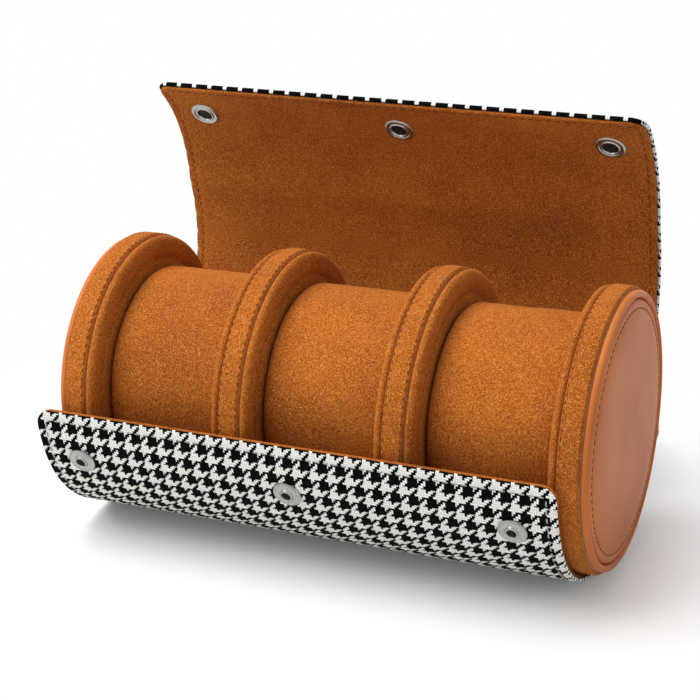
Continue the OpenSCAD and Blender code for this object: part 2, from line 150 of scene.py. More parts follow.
def weaveMaterial(name, look, length):
    # wool in a broken check: four dark and four light threads both ways in a two-and-two twill, matt and
    # crisp. The UV map counts millimetres; a thread's number is that distance over its width, it is dark
    # where its number modulo eight is under four and a half, and the warp lies on top where the whole
    # numbers of both threads add up to less than two modulo four
    material, tree, place = startMaterial(name)
    flat = addNode(tree, "ShaderNodeSeparateXYZ", {0: addNode(tree, "ShaderNodeUVMap", uv_map="clothMm")})
    threads, half = look["threads"], look["threads"] / 2
    repeats = round(length / look["alongMm"] / threads)     # whole ones between the cloth's two ends
    warp = addNode(tree, "ShaderNodeMath", {0: flat.outputs["X"], 1: look["acrossMm"]}, operation="DIVIDE")
    weft = addNode(tree, "ShaderNodeMath", {0: flat.outputs["Y"], 1: repeats * threads / length, 2: half},
                   operation="MULTIPLY_ADD")
    whole, darkness, roundness = [], [], []
    for number in (warp, weft):
        whole.append(addNode(tree, "ShaderNodeMath", {0: number}, operation="FLOOR"))
        # the dark threads are fuller than the light ones and spread over their neighbours
        inRepeat = addNode(tree, "ShaderNodeMath", {0: number, 1: threads}, operation="FLOORED_MODULO")
        darkness.append(addNode(tree, "ShaderNodeMath", {0: inRepeat, 1: half + look["spread"]},
                                operation="LESS_THAN"))
        # each thread is round across its width: the sine of half a turn
        inThread = addNode(tree, "ShaderNodeMath", {0: number}, operation="FRACT")
        halfTurn = addNode(tree, "ShaderNodeMath", {0: inThread, 1: math.pi}, operation="MULTIPLY")
        roundness.append(addNode(tree, "ShaderNodeMath", {0: halfTurn}, operation="SINE"))
    step = addNode(tree, "ShaderNodeMath", {0: whole[0], 1: whole[1]}, operation="ADD")
    inStep = addNode(tree, "ShaderNodeMath", {0: step, 1: half}, operation="FLOORED_MODULO")
    warpOnTop = addNode(tree, "ShaderNodeMath", {0: inStep, 1: half / 2}, operation="LESS_THAN")
    dark, height = (addNode(tree, "ShaderNodeMix", {0: warpOnTop, 2: ofWeft, 3: ofWarp}, data_type="FLOAT")
                    for ofWarp, ofWeft in (darkness, roundness))
    lint = addNode(tree, "ShaderNodeTexNoise", {"Vector": place, "Scale": 1000 / look["lintMm"]})
    colour = tinted(tree, look["white"], [(dark, 0.0, 1.0, 1.0, look["black"]),
                                          # painted shade: as a thread's roundness falls towards its sides,
                                          # the colour is drawn up to 0.38 of the way to the groove colour
                                          (height, 1.0, 0.0, 0.38, look["groove"]),
                                          (lint, 0.5, 0.75, 0.04, look["lint"])])
    return finishMaterial(material, colour, height, strength=0.45, depthMm=look["reliefMm"], Roughness=0.95,
                          Specular_IOR_Level=0.04)


leatherLook = {"base": "#C9753C", "dark": "#B4622C", "poreMm": 0.5, "cloudMm": 30.0, "reliefMm": 0.05}


def leatherMaterial(name, look):
    # smooth calf with a thin satin finish: faint pores, soft broad highlights
    material, tree, place = startMaterial(name)
    cloud = addNode(tree, "ShaderNodeTexNoise", {"Vector": place, "Scale": 1000 / look["cloudMm"]})
    pores = addNode(tree, "ShaderNodeTexVoronoi", {"Vector": place, "Scale": 1000 / look["poreMm"]},
                    feature="DISTANCE_TO_EDGE")
    colour = tinted(tree, look["base"], [(cloud, 0.35, 0.75, 1.0, look["dark"]),
                                         (pores, 0.1, 0.0, 0.18, look["dark"])])
    height = addNode(tree, "ShaderNodeMapRange", {"Value": pores, "From Max": 0.25})
    return finishMaterial(material, colour, height, strength=0.22, depthMm=look["reliefMm"], Roughness=0.42,
                          Specular_IOR_Level=0.1, Coat_Weight=0.02, Coat_Roughness=0.35)


metalLook = {"worn": "#6F6E6C", "scratchMm": 0.7143, "reliefMm": 0.03}


def metalMaterial(name, colour, roughness, look=metalLook):
    # plated brass, tumbled bright: fine random scratches blur the reflection
    material, tree, place = startMaterial(name)
    marks = addNode(tree, "ShaderNodeTexNoise", {"Vector": place, "Scale": 1000 / look["scratchMm"],
                                                 "Detail": 4.0, "Roughness": 0.7})
    colour = tinted(tree, colour, [(marks, 0.46, 0.9, 1.0, look["worn"])])
    return finishMaterial(material, colour, marks, strength=0.15, depthMm=look["reliefMm"], Metallic=1.0,
                          Roughness=roughness)


def fibreMaterial(name, base, second, grainMm, roughness=0.9):
    # pressed, foamed or spun fibres: matt, with an open speckled grain
    material, tree, place = startMaterial(name)
    grain = addNode(tree, "ShaderNodeTexNoise", {"Vector": place, "Scale": 1000 / grainMm, "Detail": 4.0,
                                                 "Roughness": 0.6})
    colour = tinted(tree, base, [(grain, 0.35, 0.7, 1.0, second)])
    return finishMaterial(material, colour, grain, strength=0.4, depthMm=0.15, Roughness=roughness,
                          Specular_IOR_Level=0.15)


suede = suedeMaterial("brushedSplitSuede", suedeLook)
# painted shade: the lining of the wrap and lid is the cushions' suede drawn a tenth of the way to the deep
# brown
shadedLiningSuede = suedeMaterial("shadedLiningSuede", suedeLook, shade=0.1)
leather = leatherMaterial("smoothCalf", leatherLook)
brightNickel = metalMaterial("nickelPlatedBrass", "#AEADAA", 0.28)
tumbledNickel = metalMaterial("tumbledNickelPlatedBrass", "#B4B3B0", 0.32)
# painted shade: near-black matt sheets sit in the stud's knob and the socket's bore, standing for the shade
# inside the hollows
hollowShade = fibreMaterial("snapHollowPaintedShade", "#1A1918", "#2C2B2A", 0.6, 0.6)
board = fibreMaterial("pressedFibreboard", "#8B7B66", "#6E604E", 1.4)
foam = fibreMaterial("upholsteryFoam", "#E8DFC6", "#CFC4A6", 0.8)
brownThread = fibreMaterial("brownPolyesterThread", "#7A3F16", "#5C2C0D", 0.3, 0.6)
greyThread = fibreMaterial("greyPolyesterThread", "#B4B3B0", "#8C8B88", 0.3, 0.55)
print("stage: materials made")


def gridFaces(rows, columns, first=0, loop=False):
    # quads between the neighbouring points of a grid that is numbered row by row from the first number;
    # with loop, the last column joins the first one
    i, j = np.meshgrid(np.arange(rows - 1), np.arange(columns if loop else columns - 1), indexing="ij")
    k = (j + 1) % columns
    a, b = i * columns + j, i * columns + k
    return np.stack([a, b, b + columns, a + columns], -1).reshape(-1, 4) + first


def makePiece(name, points, faces, material, uv=None, sharpAngle=50.0, merge=False):
    # points in millimetres and faces as lists of their numbers become a mesh in metres at the origin, with
    # its faces outwards; edges that turn by more than the sharp angle, in degrees, stay crisp
    mesh = bpy.data.meshes.new(name)
    mesh.from_pydata((points * mm).tolist(), [], faces)
    if uv is not None:
        layer = mesh.uv_layers.new(name="clothMm")
        corners = np.zeros(len(mesh.loops), int)
        mesh.loops.foreach_get("vertex_index", corners)
        layer.data.foreach_set("uv", uv[corners].astype(np.float32).ravel())
    form = bmesh.new()
    form.from_mesh(mesh)
    if merge:
        bmesh.ops.remove_doubles(form, verts=form.verts, dist=1e-6)
    bmesh.ops.recalc_face_normals(form, faces=form.faces)
    form.to_mesh(mesh)
    form.free()
    mesh.shade_smooth()
    mesh.set_sharp_from_angle(angle=math.radians(sharpAngle))
    mesh.materials.append(material)
    piece = bpy.data.objects.new(name, mesh)
    bpy.context.scene.collection.objects.link(piece)
    return piece


# Everything sewn lies along the line of the cloth, from the front wall's edge to the flap's free edge.
# A point is found by its length s along the line, its depth through the layers (0 on the suede's face,
# 2.4 on the cloth's face) and its X.
cloth = {
    "width": 172.0, "waistWidth": 158.0, "waistRounding": 7.0, "thick": 2.4, "layer": 0.8,
    "wallCorner": 5.0, "lidCorner": 6.0, "axisHeight": 47.8, "seatRadius": 44.8, "flapStart": -75.0,
    "wallRadius": 46.6, "wallSlack": 1.8, "wallRise": 1.5, "hiddenRadius": 60.0, "lidRadius": 54.0,
    "riserCrease": (81.06, 27.856), "freeEdge": (39.895, 132.996),
    "soften": [2.6, 3.0, 3.0, 0.6, 0.8, 1.0, 2.6],     # how far from each crease the cloth starts to turn
    "flatHalf": 11.0, "flatFade": 6.0, "flatBelow": 4.0,     # where the round wrap rests flat on the table
    "stripStart": 9.0,       # how far before the first hinge the strips of the flap begin
}
jointAt = {j["name"]: (j["pos_m"][1] / mm, j["pos_m"][2] / mm)
           for j in frame["joints"] if j["type"] == "hinge"}
creases = [jointAt["flap_roll"], jointAt["floor_crease_1"], jointAt["floor_crease_2"], jointAt["back_fold"],
           cloth["riserCrease"], jointAt["lid_fold"], jointAt["lid_crease"], cloth["freeEdge"]]
creases = [np.array(c, float) for c in creases]
panelCount = len(creases) - 1
lidFold = 5              # this crease's hinge lies in the cloth's face, the others in the suede's
arcSteps, turnSteps = 240, 60     # points along each arc and along each softened crease


def outwards(a):
    # the side of the cloth, seen along a heading: (sine, minus cosine)
    return np.stack([np.sin(a), -np.cos(a)], -1)


def panelArc(k):
    # an arc of the given radius whose start and end lie at two hinges; a hinge that lies in the cloth's
    # face is the cloth's thickness outside the arc. Halving finds the turn whose reach fits: the arc goes
    # radius * (sine of the turn, 1 - its cosine)
    radius = cloth["hiddenRadius"] if k < lidFold else cloth["lidRadius"]
    start, end = creases[k], creases[k + 1]
    outStart, outEnd = cloth["thick"] * (k == lidFold), cloth["thick"] * (k + 1 == lidFold)
    reach = np.linalg.norm(end - start)
    low, high = 0.05, 1.5
    for _ in range(60):
        turn = (low + high) / 2
        there = radius * np.array([math.sin(turn), 1 - math.cos(turn)])
        there = there + outEnd * np.array([math.sin(turn), -math.cos(turn)]) + [0, outStart]
        low, high = (turn, high) if np.linalg.norm(there) < reach else (low, turn)
    heading = math.atan2(*(end - start)[::-1]) - math.atan2(there[1], there[0])
    begin = start - outStart * outwards(np.array(heading))
    return begin - radius * outwards(np.array(heading)), radius, heading, turn


def arcRows(centre, radius, heading, turn, cutStart=0.0, cutEnd=0.0):
    # the middle of the layers along an arc, shortened at its two ends by lengths in millimetres:
    # the centre plus (radius plus half the thickness) times the outward direction
    a = np.linspace(heading + cutStart / radius, heading + turn - cutEnd / radius, arcSteps)
    return centre + (radius + cloth["thick"] / 2) * outwards(a), a


def turnRows(start, startHeading, end, endHeading):
    # a line whose heading changes evenly, summed up step by step, then scaled and drawn along evenly so
    # that it ends where it should
    turn = (endHeading - startHeading + math.pi) % (2 * math.pi) - math.pi
    a = startHeading + turn * np.linspace(0, 1, turnSteps)
    middle = (a[1:] + a[:-1]) / 2
    line = np.vstack([[0, 0], np.cumsum(np.stack([np.cos(middle), np.sin(middle)], -1), 0)])
    line *= np.linalg.norm(end - start) / np.linalg.norm(line[-1])
    line += start + np.linspace(0, 1, turnSteps)[:, None] * (end - start - line[-1])
    return line, a


def clothLine():
    # the front wall's arc, the seat's arc, then each panel's arc after a soft turn at its crease; returns
    # points, headings and lengths, and the lengths at the panels' middles and at the creases
    axis = np.array([0.0, cloth["axisHeight"]])
    slack, wallMiddle = cloth["wallSlack"], cloth["wallRadius"] + cloth["thick"] / 2
    wallTop = math.pi - math.asin((cloth["wallRise"] - slack) / wallMiddle)
    rows = [arcRows(axis + [0, slack], cloth["wallRadius"], wallTop + math.pi / 2, 1.5 * math.pi - wallTop),
            arcRows(axis, cloth["seatRadius"], 2 * math.pi, math.radians(90 + cloth["flapStart"]), 0,
                    cloth["soften"][0])]
    for k in range(panelCount):
        after = cloth["soften"][k + 1] if k + 1 < panelCount else 0.0
        panel = arcRows(*panelArc(k), cloth["soften"][k], after)
        before = rows[-1]
        rows += [turnRows(before[0][-1], before[1][-1], panel[0][0], panel[1][0]), panel]
    points = np.vstack([p for p, _ in rows])
    headings = np.unwrap(np.concatenate([a for _, a in rows]))
    lengths = np.concatenate([[0], np.cumsum(np.linalg.norm(np.diff(points, axis=0), axis=1))])
    starts = np.cumsum([0] + [len(a) for _, a in rows])
    creaseS = [lengths[starts[2 + 2 * k] + turnSteps // 2] for k in range(panelCount)]
    middleS = [lengths[starts[3 + 2 * k] + arcSteps // 2] for k in range(panelCount)]
    keep = np.concatenate([[True], np.diff(lengths) > 1e-6])
    return points[keep], headings[keep], lengths[keep], middleS, creaseS


linePoints, lineHeadings, lineLengths, middleS, creaseS = clothLine()
lineEnd = lineLengths[-1]
weave = weaveMaterial("brokenCheckWool", weaveLook, lineEnd)
print("stage: cloth line is", round(lineEnd, 1), "mm long")


def onLine(s):
    # the point and the heading in the middle of the layers at a length, read off the line's points
    point = np.stack([np.interp(s, lineLengths, linePoints[:, k]) for k in (0, 1)], -1)
    return point, np.interp(s, lineLengths, lineHeadings)


def clothPoint(x, s, depth):
    # a point in millimetres: the line's point, moved outwards by the depth less half the thickness
    x, s, depth = np.broadcast_arrays(np.asarray(x, float), s, depth)
    point, heading = onLine(s)
    flat = point + (depth - cloth["thick"] / 2)[..., None] * outwards(heading)
    return np.stack([x, flat[..., 0], flat[..., 1]], -1)


def halfWidth(s):
    # half the cloth's width: even along the wrap and the lid, narrowing in straight lines to the fold
    # behind the discs; the mean over a short window rounds the places where the slope changes
    window = np.linspace(-cloth["waistRounding"], cloth["waistRounding"], 15)
    full, waist = cloth["width"] / 2, cloth["waistWidth"] / 2
    widths = np.interp(np.asarray(s)[..., None] + window, [creaseS[0], creaseS[3], creaseS[5]],
                       [full, waist, full])
    return widths.mean(-1)


def cornerRadius(s):
    # the outline's corners have one radius on the front wall and another on the lid
    return np.where(s < lineEnd / 2, cloth["wallCorner"], cloth["lidCorner"])


def edgeDistance(x, s):
    # distance inside the cloth's outline when it is laid flat: to the nearest side, or in a corner the
    # radius less the distance from the corner's centre
    r = cornerRadius(s)
    inX = halfWidth(s) - np.abs(x)
    inS = np.minimum(s, lineEnd - s)
    corner = r - np.hypot(np.maximum(r - inX, 0), np.maximum(r - inS, 0))
    return np.where((inX < r) & (inS < r), corner, np.minimum(inX, inS))


def smoothStep(t):
    # 0 up to 0 and 1 from 1 on, with 3 t squared less 2 t cubed between them
    t = np.clip(t, 0, 1)
    return t * t * (3 - 2 * t)


grid = {
    "edge": np.array([0, 0.06, 0.2, 0.42, 0.75, 1.15, 1.6, 2.1, 2.7, 3.5, 5.0]),     # rows in from an edge
    "spacing": 1.3, "turnDegrees": 7.0, "gap": 0.5, "across": 60, "samples": 6000,
}


def rowLengths(s0, s1, inset):
    # rows are evenly spaced in length over the spacing plus turn over the turn's step, so they lie closer
    # where the line turns; at a free edge they lie at the edge's own distances
    fine = np.linspace(max(s0, inset), min(s1, lineEnd - inset), grid["samples"])
    turned = np.abs(np.gradient(onLine(fine)[1])) / math.radians(grid["turnDegrees"])
    cost = np.cumsum(np.abs(np.gradient(fine)) / grid["spacing"] + turned)
    rows = np.interp(np.linspace(cost[0], cost[-1], int(cost[-1] - cost[0]) + 3), cost, fine)
    edge, reach = grid["edge"], grid["edge"][-1] + grid["gap"]
    if s0 <= inset:
        rows = np.concatenate([inset + edge, rows[rows > inset + reach]])
    if s1 >= lineEnd - inset:
        last = lineEnd - inset
        rows = np.concatenate([rows[rows < last - reach], (last - edge)[::-1]])
    return rows


def layerShell(name, material, s0, s1, inset, innerDepth, outerDepth, finish=None):
    # a layer of the wrap as a closed shell: two grids over X and length, one at each depth, joined round
    # their border; each row is as wide as the outline there, so the border follows the rounded corners
    s = rowLengths(s0, s1, inset)
    r = cornerRadius(s) - inset
    d = np.clip(np.minimum(s - inset, lineEnd - inset - s), 0, None)
    narrowing = np.where(d < r, r - np.sqrt(np.maximum(r * r - (r - d) ** 2, 0)), 0)
    half = halfWidth(s) - inset - narrowing
    inner = half[:, None] - grid["edge"][None, :]
    middle = inner[:, -1:] * np.linspace(-1, 1, grid["across"])[None, 1:-1]
    x = np.concatenate([-inner, middle, inner[:, ::-1]], 1)
    s = np.repeat(s[:, None], x.shape[1], 1)
    d = edgeDistance(x, s)
    sides = np.stack([clothPoint(x, s, outerDepth(d, s)), clothPoint(x, s, innerDepth(d, s))])
    if finish is not None:
        sides = finish(sides)
    n, m = x.shape
    top = gridFaces(n, m)
    border = np.concatenate([np.arange(m), np.arange(1, n) * m + m - 1,
                             (n - 1) * m + np.arange(m - 2, -1, -1), np.arange(n - 2, 0, -1) * m])
    after = np.roll(border, -1)
    rim = np.stack([border, after, after + n * m, border + n * m], -1)
    faces = np.concatenate([top, top[:, ::-1] + n * m, rim]).tolist()
    uv = np.tile(np.stack([x, s], -1).reshape(-1, 2), (2, 1))
    return makePiece(name, sides.reshape(-1, 3), faces, material, uv)


hem = {
    "roll": 0.75, "turned": 0.75, "turnWidth": 1.8, "frontStart": 6.0, "frontReach": 6.0,
    "liningInset": 0.85, "liningRoll": 0.55, "liningRollOut": 0.5, "liningRise": 0.3, "liningFront": 0.4,
    "liningReach": 2.0,
}
hemStitch = {
    "inset": 3.2, "pitch": 2.9, "length": 2.5, "radius": 0.27, "suedeRadius": 0.17,
    "clothSink": 0.2, "suedeSink": 0.26,     # how far the thread's middle lies under each face
    "clothPull": 0.24, "clothPullWidth": 0.6, "suedePull": 0.28, "suedePullWidth": 0.55,
    "cornerPoints": 12, "ahead": 0.05,       # points in a corner of the path; the step that gives directions
}


def roundEdge(d, radius):
    # how much of a layer's thickness is left at a distance from its rounded edge: a quarter of a circle
    t = np.clip(1 - d / radius, 0, 1)
    return np.sqrt(np.maximum(1 - t * t, 0.0004))


def pastFront(s):
    # 0 along the front wall's edge, 1 a little way on: the hem is turned over everywhere but there
    return smoothStep((s - hem["frontStart"]) / hem["frontReach"])


def seamPull(d, depth, width):
    # how far the stitches pull a face in: a bell curve over the distance from the seam
    return depth * np.exp(-((d - hemStitch["inset"]) / width) ** 2)


def clothSpan(d, s):
    # the depth of the cloth's inner face and its middle; the cloth is turned over the board's edge, so
    # it reaches further in near a free edge
    inner = 2 * cloth["layer"] - hem["turned"] * smoothStep(1 - d / hem["turnWidth"]) * pastFront(s)
    return inner, (inner + cloth["thick"]) / 2


def clothInner(d, s):
    # from the middle to the inner face, rounded off at the edge
    inner, middle = clothSpan(d, s)
    return middle + (inner - middle) * roundEdge(d, hem["roll"])


def clothOuter(d, s):
    # from the middle to the outer face, rounded off at the edge, less the stitches' pull
    middle = clothSpan(d, s)[1]
    pull = seamPull(d, hemStitch["clothPull"], hemStitch["clothPullWidth"])
    return middle + (cloth["thick"] - middle) * roundEdge(d, hem["roll"]) - pull


def liningSpan(d, s):
    # the distance from the lining's own edge and the depth of its outer face: it stops short of the
    # cloth's edge, and rises near its own
    front = pastFront(s)
    e = d - hem["liningInset"] * front
    rise = hem["turned"] * hem["liningRise"] + hem["liningFront"] * (1 - front)
    return e, cloth["layer"] + rise * smoothStep(1 - e / hem["liningReach"])


def liningOuter(d, s):
    # from the middle to the outer face, rounded off at the edge
    e, full = liningSpan(d, s)
    return full / 2 + (full - full / 2) * roundEdge(e, hem["liningRollOut"])


def liningInner(d, s):
    # from the middle to the suede's face, rounded off at the edge, plus the stitches' pull
    e, full = liningSpan(d, s)
    pull = seamPull(d, hemStitch["suedePull"], hemStitch["suedePullWidth"])
    return full / 2 - full / 2 * roundEdge(e, hem["liningRoll"]) + pull


def restOnFloor(sides):
    # the cloth lies flat on the table under the round wrap: its height goes to 0 as |Y| nears the middle
    outer = sides[0]
    flat = smoothStep((cloth["flatHalf"] - np.abs(outer[..., 1])) / cloth["flatFade"])
    low = outer[..., 2] < cloth["flatBelow"]
    outer[..., 2] = np.where(low, outer[..., 2] * (1 - flat), outer[..., 2])
    return sides


wrapEnd = creaseS[0] - cloth["stripStart"]
strips = [
    # name, start, end, bodies, crease, how far the bend reaches, the CAD panel it stands for
    ("floor_strip_1", wrapEnd, middleS[0], ("base", "floor_panel_1"), 0, 5.0, "floor_panel_1"),
    ("floor_strip_2", middleS[0], middleS[1], ("floor_panel_1", "floor_panel_2"), 1, 5.0, "floor_panel_2"),
    ("floor_strip_3", middleS[1], middleS[2], ("floor_panel_2", "floor_panel_3"), 2, 5.0, "floor_panel_3"),
    ("back_strip", middleS[2], middleS[3], ("floor_panel_3", "riser"), 3, 2.4, "riser_panel_1"),
    ("riser_strip", middleS[3], middleS[4], ("riser",), None, 0, "riser_panel_2"),
    ("fold_strip", middleS[4], middleS[5], ("riser", "lower_lid"), 5, 2.6, "lower_lid"),
    ("lid_strip", middleS[5], lineEnd, ("lower_lid", "upper_lid"), 6, 5.0, "upper_lid"),
]


def follow(piece, bodies, crease, reach):
    # a strip rides on one body when it has no crease; one that spans a crease is baked where it lies and
    # rides on no body
    if crease is None:
        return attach(piece, bodies[0])
    s = creaseS[crease]
    start, end = clothPoint(0, np.array([s - reach, s + reach]), cloth["thick"] / 2) * mm
    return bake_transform(piece)


wrapCloth = layerShell("wrap_cloth", weave, 0, wrapEnd, 0.0, clothInner, clothOuter, restOnFloor)
wrapSuede = layerShell("wrap_suede", shadedLiningSuede, 0, wrapEnd, 0.0, liningInner, liningOuter)
for piece, node, slot in ((wrapCloth, "wrap_fabric", "woven_cloth"), (wrapSuede, "wrap_lining", "suede")):
    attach(piece, "base")
    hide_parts(node)
for name, s0, s1, bodies, crease, reach, panel in strips:
    outer = layerShell(name + "_cloth", weave, s0, s1, 0.0, clothInner, clothOuter)
    inner = layerShell(name + "_suede", shadedLiningSuede, s0, s1, hem["liningInset"], liningInner, liningOuter)
    for piece, layer, slot in ((outer, "_fabric", "woven_cloth"), (inner, "_lining", "suede")):
        follow(piece, bodies, crease, reach)
        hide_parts(panel + layer)
print("stage: wrap and flap made")

bead = {"rings": 7, "sides": 6, "rise": 0.5, "dip": 1.6, "tip": 0.02}


def stitchMesh(centres, tangents, normals, length, radius):
    # each stitch is a short bent bead: with t from -1 to 1 along it, its middle lies at its radius times
    # (rise less dip times t squared) above the face, and a ring's radius is the root of 1 less t to the
    # fourth
    rings, sides = bead["rings"], bead["sides"]
    t = np.linspace(-1, 1, rings)
    around = np.linspace(0, 2 * math.pi, sides, endpoint=False)
    aside = np.cross(tangents, normals)
    along = centres[:, None] + tangents[:, None] * (length / 2 * t)[None, :, None]
    along = along + normals[:, None] * (radius * (bead["rise"] - bead["dip"] * t ** 2))[None, :, None]
    size = radius * np.sqrt(np.maximum(1 - t ** 4, bead["tip"]))
    ring = (normals[:, None, None] * np.cos(around)[None, None, :, None]
            + aside[:, None, None] * np.sin(around)[None, None, :, None])
    points = along[:, :, None] + ring * size[None, :, None, None]
    first = rings * sides * np.arange(len(centres))[:, None]
    quads = (gridFaces(rings, sides, loop=True)[None] + first[..., None]).reshape(-1, 4)
    startCaps, endCaps = first + np.arange(sides)[::-1], first + (rings - 1) * sides + np.arange(sides)
    return points.reshape(-1, 3), quads.tolist() + startCaps.tolist() + endCaps.tolist()


def hemPath():
    # round the flat outline at an even inset: four quarter circles joined by straight lines, resampled so
    # that the stitches are evenly spaced; returns each stitch's place and its direction on the flat cloth
    e = hemStitch["inset"]
    x, s0, s1 = cloth["width"] / 2 - e, e, lineEnd - e
    a = np.linspace(0, math.pi / 2, hemStitch["cornerPoints"])
    lid, wall = cloth["lidCorner"] - e, cloth["wallCorner"] - e
    corners = [(x - lid, s1 - lid, lid), (lid - x, s1 - lid, lid), (wall - x, s0 + wall, wall),
               (x - wall, s0 + wall, wall)]
    quarters = [(middle, r, a + q * math.pi / 2) for q, (*middle, r) in enumerate(corners)]
    line = np.vstack([middle + r * np.stack([np.cos(b), np.sin(b)], -1) for middle, r, b in quarters])
    line = np.vstack([line, line[:1]])
    lengths = np.concatenate([[0], np.cumsum(np.linalg.norm(np.diff(line, axis=0), axis=1))])
    count = int(lengths[-1] / hemStitch["pitch"])
    where = (np.arange(count) + 0.5) * lengths[-1] / count
    path, ahead = (np.stack([np.interp(at, lengths, line[:, k]) for k in (0, 1)], -1)
                   for at in (where, where + hemStitch["ahead"]))
    for flat in (path, ahead):                  # the sides are drawn in where the cloth narrows
        flat[:, 0] -= np.sign(flat[:, 0]) * (cloth["width"] / 2 - halfWidth(flat[:, 1]))
    return path, (ahead - path) / np.linalg.norm(ahead - path, axis=1, keepdims=True)


hemPoints, hemDirections = hemPath()


def hemStitches(name, s0, s1, depth, side, radius, material):
    # the hem's stitches between two lengths, on one face: side is 1 on the cloth and -1 on the suede;
    # each one's direction is that from its point to the point a tenth of a millimetre on
    chosen = (hemPoints[:, 1] >= s0) & (hemPoints[:, 1] < s1)
    flat, ahead = hemPoints[chosen], hemDirections[chosen]
    centre = clothPoint(flat[:, 0], flat[:, 1], depth)
    tangent = clothPoint(flat[:, 0] + 0.1 * ahead[:, 0], flat[:, 1] + 0.1 * ahead[:, 1], depth) - centre
    tangent /= np.linalg.norm(tangent, axis=1, keepdims=True)
    heading = onLine(flat[:, 1])[1]
    out = np.concatenate([np.zeros((len(flat), 1)), outwards(heading)], 1) * side
    points, faces = stitchMesh(centre, tangent, out, hemStitch["length"], radius)
    return makePiece(name, points, faces, material, sharpAngle=180)


sewn = [("wrap", 0, wrapEnd, ("base",), None, 0)] + [strip[:6] for strip in strips]
for name, s0, s1, bodies, crease, reach in sewn:
    outside = hemStitches(name + "_cloth_stitches", s0, s1, cloth["thick"] - hemStitch["clothSink"], 1,
                          hemStitch["radius"], greyThread)
    inside = hemStitches(name + "_suede_stitches", s0, s1, hemStitch["suedeSink"], -1,
                         hemStitch["suedeRadius"], brownThread)
    for piece, slot in ((outside, "woven_cloth"), (inside, "suede")):
        follow(piece, bodies, crease, reach)
print("stage: hem stitches made")

disc = {
    "radius": 44.5, "pitch": 54.0, "shift": 6.5, "bandHalf": 3.5, "side": 3.0, "ringStep": 0.7,
    "ringWidth": 7.0, "rimSide": 2.4, "rimStep": 1.2, "rimWidth": 2.6, "faceDepth": 0.4, "faceSeam": 2.8,
    "bandSeam": 2.75, "bandSeamSink": 0.22, "stitchPitch": 2.6, "stitchLength": 2.1, "stitchRadius": 0.2,
    "bandThick": 1.25, "bandCrown": 0.12, "bandTuck": 0.95, "bandTuckWidth": 0.75,
}


def roundAxis(x, radius, a):
    # a point on the discs' axis frame: (X, radius times cosine, the axis' height plus radius times sine)
    return np.stack([x, radius * np.cos(a), cloth["axisHeight"] + radius * np.sin(a)], -1)


def turnedShell(name, profile, middle, material, segments=192, wobble=None):
    # a profile of (radius, X) carried round the discs' axis; one that starts off the axis is a closed ring,
    # and points on the axis become one
    a = np.linspace(0, 2 * math.pi, segments, endpoint=False)
    radius = np.repeat(profile[:, :1], segments, 1)
    across = np.repeat(profile[:, 1:], segments, 1)
    if wobble is not None:
        radius = wobble(radius, across, a[None, :])
    points = roundAxis(middle + across, radius, a).reshape(-1, 3)
    faces = gridFaces(len(profile), segments, loop=True)
    if abs(profile[0, 0]) > 1e-6:
        j = np.arange(segments)
        k = (j + 1) % segments
        last = (len(profile) - 1) * segments
        faces = np.vstack([faces, np.stack([last + j, last + k, k, j], -1)])
    return makePiece(name, points, faces.tolist(), material, merge=True)


def smoothProfile(corners, count):
    # a rounded line through a few points: between each two, a cubic whose slope at a point is half the
    # step from the point before to the point after
    p = np.array(corners, float)
    p = np.vstack([2 * p[0] - p[1], p, 2 * p[-1] - p[-2]])
    t = np.linspace(0, 1, count // (len(corners) - 1) + 2)[:-1, None]
    parts = []
    for a, b, c, d in zip(p, p[1:], p[2:], p[3:]):
        square, cube = (2 * a - 5 * b + 4 * c - d) * t ** 2, (3 * b - a - 3 * c + d) * t ** 3
        parts.append(0.5 * (2 * b + (c - a) * t + square + cube))
    return np.vstack(parts + [p[-2:-1]])


def bandProfile():
    # flat suede band: its radius falls with the square of X, and dips into a groove at each seam
    r, h, w = disc["radius"], disc["bandHalf"], disc["bandTuckWidth"]
    x = np.linspace(-h, h, 41)
    tuck = smoothStep((np.abs(x) - (h - w)) / w) ** 1.5
    top = r - disc["bandCrown"] * (np.abs(x) / h) ** 2 - disc["bandTuck"] * tuck
    inside = np.stack([np.full(9, r - disc["bandThick"]), np.linspace(h, -h, 9)], -1)
    return np.vstack([np.stack([top, x], -1), inside])


def facingProfile(direction):
    # padded ring sewn to the band, a tucked seam inside it, and the flat padded middle
    r, h, t = disc["radius"] - disc["ringStep"], disc["bandHalf"], disc["side"]
    w = disc["ringWidth"]
    face = smoothProfile([
        (r - 0.9, h + 0.02), (r - 0.15, h + 0.55), (r + 0.15, h + 1.3), (r - 0.35, h + 2.2),
        (r - 1.5, h + 2.8), (r - 3.2, h + t), (r - 4.8, h + t - 0.15), (r - 6.0, h + t - 0.7),
        (r - w, h + t - 1.35), (r - w - 0.5, h + t - 1.2), (r - w - 1.3, h + t - 0.62),
        (r - w - 3.5, h + t - 0.4), (r - w - 12, h + t - 0.35), (8.0, h + t - 0.35), (0.0, h + t - 0.35)],
        150)
    return np.vstack([face, [(0.0, h + 0.05), (r - 1.2, h + 0.05)]]) * [1, direction]


def rimProfile(direction):
    # leather piping: a thin half-round roll that stands round the face
    r, h, t, w = disc["radius"] - disc["rimStep"], disc["bandHalf"], disc["rimSide"], disc["rimWidth"]
    face = smoothProfile([
        (r - 0.7, h + 0.02), (r - 0.12, h + 0.35), (r + 0.05, h + 1.0), (r - 0.2, h + 1.75),
        (r - 0.75, h + t - 0.12), (r - 1.25, h + t), (r - 1.8, h + t - 0.22), (r - 2.25, h + 1.5),
        (r - w + 0.1, h + 0.8), (r - w, h + 0.1)], 80)
    return np.vstack([face, [(r - w + 0.6, h + 0.05), (r - 1.2, h + 0.05)]]) * [1, direction]


